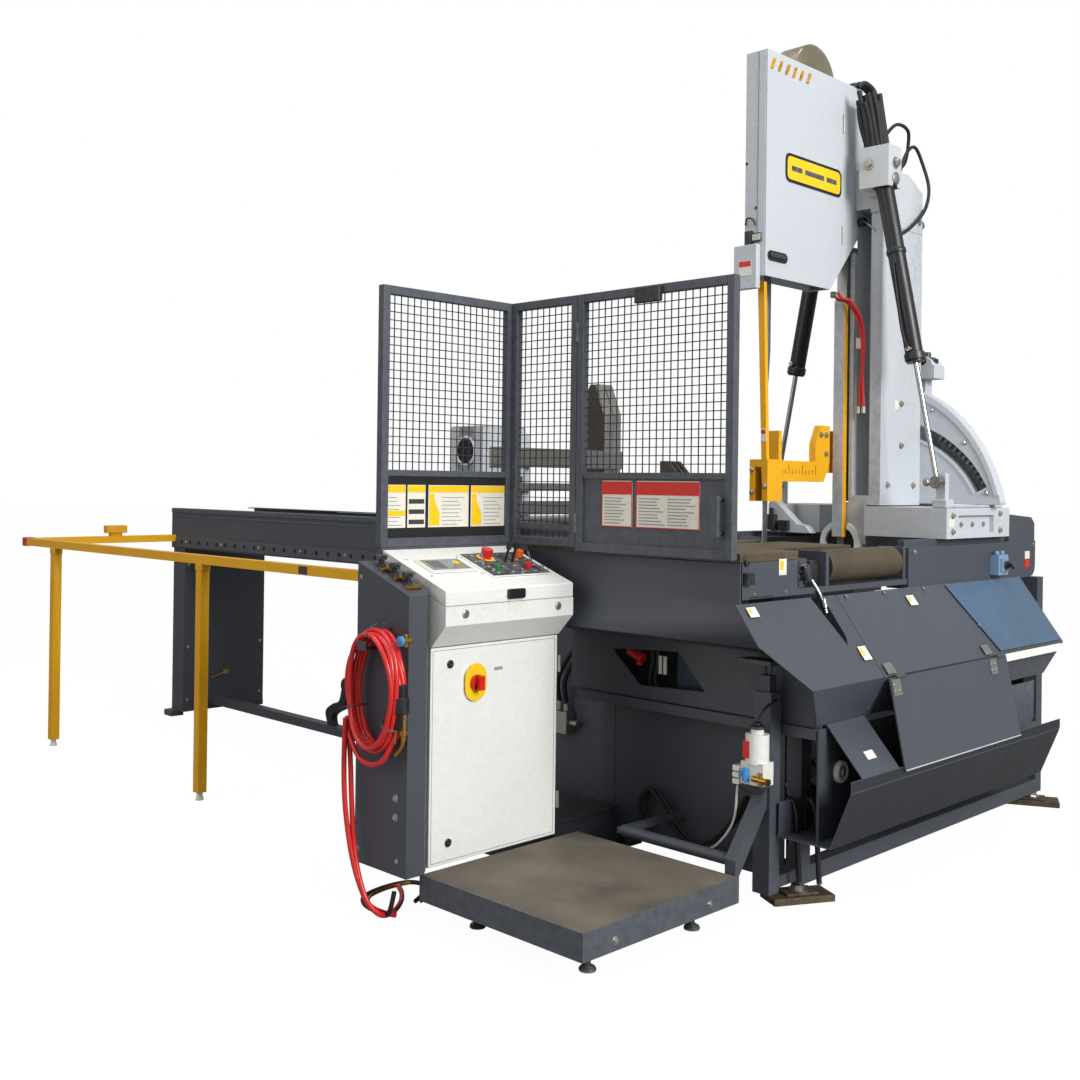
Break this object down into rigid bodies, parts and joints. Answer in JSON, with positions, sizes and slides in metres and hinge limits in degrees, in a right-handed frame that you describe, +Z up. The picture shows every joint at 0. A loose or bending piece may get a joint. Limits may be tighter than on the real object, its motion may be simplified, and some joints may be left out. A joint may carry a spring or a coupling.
{
  "type": "vertical tilt-frame band saw",
  "caption": "Large vertical tilt-frame band saw: upright blade head on a feed carriage, table, shuttle vise, infeed bed, control console, mesh guard and rail.",
  "frame": {"origin": "floor level under the blade plane and tilt axis, at the middle of the machine base", "axes": "+X along the material towards the outfeed side, -Y towards the operator, +Z up"},
  "size_m": [4.857, 3.331, 3.32],
  "materials": {
    "sheet_grey": "semi-gloss dark blue-grey paint",
    "steel": "ground",
    "brown_steel": "machined, oiled",
    "chrome": "polished",
    "light_grey": "semi-gloss light grey paint",
    "black": "matt",
    "safety_yellow": "gloss safety yellow paint",
    "cream": "semi-gloss off-white paint",
    "red": "gloss",
    "green": "gloss",
    "orange": "gloss",
    "hose_red": "smooth",
    "deck": "worn non-slip coating",
    "white": "satin"
  },
  "bodies": {
    "base": {"base_frame": "sheet_grey", "front_apron": "sheet_grey", "hopper_cover": "sheet_grey", "chip_trough": "sheet_grey", "coolant_tray": "sheet_grey", "hydraulic_unit": "sheet_grey", "work_table": "brown_steel", "roller_frame": "sheet_grey", "side_beam_outfeed": "sheet_grey", "side_beam_infeed": "sheet_grey", "feed_cylinder": "black", "main_vise_fixed_jaw": "brown_steel", "infeed_bed": "sheet_grey", "bed_legs": "sheet_grey", "console_body": "cream", "end_panel": "sheet_grey", "air_hose_coil": "hose_red", "guard_fixed": "sheet_grey", "platform_deck": "deck", "platform_frame": "sheet_grey", "barrier_rail": "safety_yellow", "lubricator": "white"},
    "auger": {"chip_auger": "steel"},
    "chip_door": {"chip_door": "sheet_grey"},
    "outfeed_roller": {"outfeed_roller": "brown_steel"},
    "stop_lever": {"stop_lever": "chrome"},
    "carriage": {"carriage_casting": "light_grey", "tilt_clamp": "light_grey"},
    "head": {"head_column": "light_grey", "tilt_quadrant": "light_grey", "guide_way": "steel", "rear_blade_guard": "safety_yellow", "upper_housing": "light_grey", "lower_housing": "sheet_grey", "drive_motor": "black", "saw_blade": "steel"},
    "upper_door": {"upper_door": "light_grey"},
    "tension_slide": {"tension_block": "steel"},
    "upper_wheel": {"upper_wheel": "steel"},
    "lower_wheel": {"lower_wheel": "steel"},
    "guide_arm": {"guide_arm": "safety_yellow"},
    "cylinder_right": {"cylinder_right": "black"},
    "rod_right": {"rod_right": "chrome"},
    "cylinder_left": {"cylinder_left": "black"},
    "rod_left": {"rod_left": "chrome"},
    "main_vise_jaw": {"main_vise_jaw": "brown_steel"},
    "shuttle": {"shuttle_carriage": "steel"},
    "shuttle_jaw": {"shuttle_jaw": "light_grey"},
    "bed_roller_1": {"bed_roller_1": "steel"},
    "bed_roller_2": {"bed_roller_2": "steel"},
    "cabinet_door": {"cabinet_door": "cream"},
    "disconnect_knob": {"disconnect_knob": "red"},
    "console_lid": {"console_lid": "cream"},
    "emergency_stop": {"emergency_stop": "red"},
    "start_button": {"start_button": "green"},
    "stop_button": {"stop_button": "red"},
    "speed_knob": {"speed_knob": "orange"},
    "valve_lever_1": {"valve_lever_1": "black"},
    "valve_lever_2": {"valve_lever_2": "black"},
    "guard_door": {"guard_door": "sheet_grey"}
  },
  "joints": [
    {"name": "carriage_feed", "type": "slide", "parent": "base", "child": "carriage", "axis": [0, -1, 0], "range_m": [-0.04, 0.3]},
    {"name": "head_tilt", "type": "hinge", "parent": "carriage", "child": "head", "pos_m": [0, 0.2, 1.2], "axis": [0, -1, 0], "range_deg": [0, 45]},
    {"name": "upper_door_hinge", "type": "hinge", "parent": "head", "child": "upper_door", "pos_m": [0.05, -0.09, 2.26], "axis": [0, 0, 1], "range_deg": [0, 80]},
    {"name": "blade_tension", "type": "slide", "parent": "head", "child": "tension_slide", "axis": [0, 0, 1], "range_m": [-0.02, 0]},
    {"name": "upper_wheel_spin", "type": "hinge", "parent": "tension_slide", "child": "upper_wheel", "pos_m": [0, -0.27, 2.8], "axis": [1, 0, 0], "continuous": true},
    {"name": "lower_wheel_spin", "type": "hinge", "parent": "head", "child": "lower_wheel", "pos_m": [0, -0.27, 0.725], "axis": [1, 0, 0], "continuous": true},
    {"name": "guide_arm_slide", "type": "slide", "parent": "head", "child": "guide_arm", "axis": [0, 0, 1], "range_m": [-0.08, 0.6]},
    {"name": "cylinder_right_pivot", "type": "hinge", "parent": "head", "child": "cylinder_right", "pos_m": [0.209, -0.03, 2.715], "axis": [0, -1, 0], "range_deg": [-1.31, 0]},
    {"name": "rod_right_slide", "type": "slide", "parent": "cylinder_right", "child": "rod_right", "axis": [0.1982, 0, -0.9802], "range_m": [0, 0.4114]},
    {"name": "cylinder_left_pivot", "type": "hinge", "parent": "head", "child": "cylinder_left", "pos_m": [-0.2135, 0.2, 2.715], "axis": [0, -1, 0], "range_deg": [0, 15.65]},
    {"name": "rod_left_slide", "type": "slide", "parent": "cylinder_left", "child": "rod_left", "axis": [-0.1858, 0, -0.9826], "range_m": [-0.2647, 0]},
    {"name": "main_vise_slide", "type": "slide", "parent": "base", "child": "main_vise_jaw", "axis": [0, 1, 0], "range_m": [0, 0.38]},
    {"name": "shuttle_feed", "type": "slide", "parent": "base", "child": "shuttle", "axis": [1, 0, 0], "range_m": [-1.2, 0.15]},
    {"name": "shuttle_jaw_slide", "type": "slide", "parent": "shuttle", "child": "shuttle_jaw", "axis": [0, 1, 0], "range_m": [0, 0.22]},
    {"name": "outfeed_roller_spin", "type": "hinge", "parent": "base", "child": "outfeed_roller", "pos_m": [0.42, -0.578, 1.155], "axis": [0, 1, 0], "continuous": true},
    {"name": "bed_roller_1_spin", "type": "hinge", "parent": "base", "child": "bed_roller_1", "pos_m": [-3.2, -0.61, 1.185], "axis": [0, 1, 0], "continuous": true},
    {"name": "bed_roller_2_spin", "type": "hinge", "parent": "base", "child": "bed_roller_2", "pos_m": [-2, -0.61, 1.185], "axis": [0, 1, 0], "continuous": true},
    {"name": "auger_spin", "type": "hinge", "parent": "base", "child": "auger", "pos_m": [0.5, 0, 0.478], "axis": [0, 1, 0], "continuous": true},
    {"name": "chip_door_hinge", "type": "hinge", "parent": "base", "child": "chip_door", "pos_m": [0.692, -0.35, 0.786], "axis": [0, -1, 0], "range_deg": [0, 100]},
    {"name": "stop_lever_pivot", "type": "hinge", "parent": "base", "child": "stop_lever", "pos_m": [0.455, -0.965, 1.155], "axis": [1, 0, 0], "range_deg": [-15, 15]},
    {"name": "guard_door_hinge", "type": "hinge", "parent": "base", "child": "guard_door", "pos_m": [-0.197, -1.44, 1.2], "axis": [0, 0, -1], "range_deg": [0, 90]},
    {"name": "cabinet_door_hinge", "type": "hinge", "parent": "base", "child": "cabinet_door", "pos_m": [-0.273, -1.444, 0.53], "axis": [0, 0, 1], "range_deg": [0, 90]},
    {"name": "disconnect_turn", "type": "hinge", "parent": "cabinet_door", "child": "disconnect_knob", "pos_m": [-0.2645, -1.845, 0.765], "axis": [1, 0, 0], "range_deg": [0, 90]},
    {"name": "console_lid_hinge", "type": "hinge", "parent": "base", "child": "console_lid", "pos_m": [-0.535, -1.7425, 1.205], "axis": [0, -1, 0], "range_deg": [0, 60]},
    {"name": "emergency_stop_press", "type": "slide", "parent": "console_lid", "child": "emergency_stop", "axis": [0.3363, 0, 0.9417], "range_m": [0, 0.005]},
    {"name": "start_button_press", "type": "slide", "parent": "console_lid", "child": "start_button", "axis": [0.3363, 0, 0.9417], "range_m": [0, 0.003]},
    {"name": "stop_button_press", "type": "slide", "parent": "console_lid", "child": "stop_button", "axis": [0.3363, 0, 0.9417], "range_m": [0, 0.003]},
    {"name": "speed_knob_turn", "type": "hinge", "parent": "console_lid", "child": "speed_knob", "pos_m": [-0.41847, -1.51, 1.1706], "axis": [0.3363, 0, 0.9417], "range_deg": [-135, 135]},
    {"name": "valve_lever_1_tilt", "type": "hinge", "parent": "console_lid", "child": "valve_lever_1", "pos_m": [-0.3764, -1.61, 1.1611], "axis": [0, 1, 0], "range_deg": [-20, 20]},
    {"name": "valve_lever_2_tilt", "type": "hinge", "parent": "console_lid", "child": "valve_lever_2", "pos_m": [-0.3764, -1.575, 1.1611], "axis": [0, 1, 0], "range_deg": [-20, 20]}
  ],
  "couplings": [
    {"joint": "lower_wheel_spin", "follows": "upper_wheel_spin", "ratio": 1},
    {"joint": "cylinder_right_pivot", "follows": "head_tilt", "ratio": -0.02251},
    {"joint": "rod_right_slide", "follows": "head_tilt", "m_per_rad": 0.51749},
    {"joint": "cylinder_left_pivot", "follows": "head_tilt", "ratio": 0.341},
    {"joint": "rod_left_slide", "follows": "head_tilt", "m_per_rad": -0.33068}
  ]
}
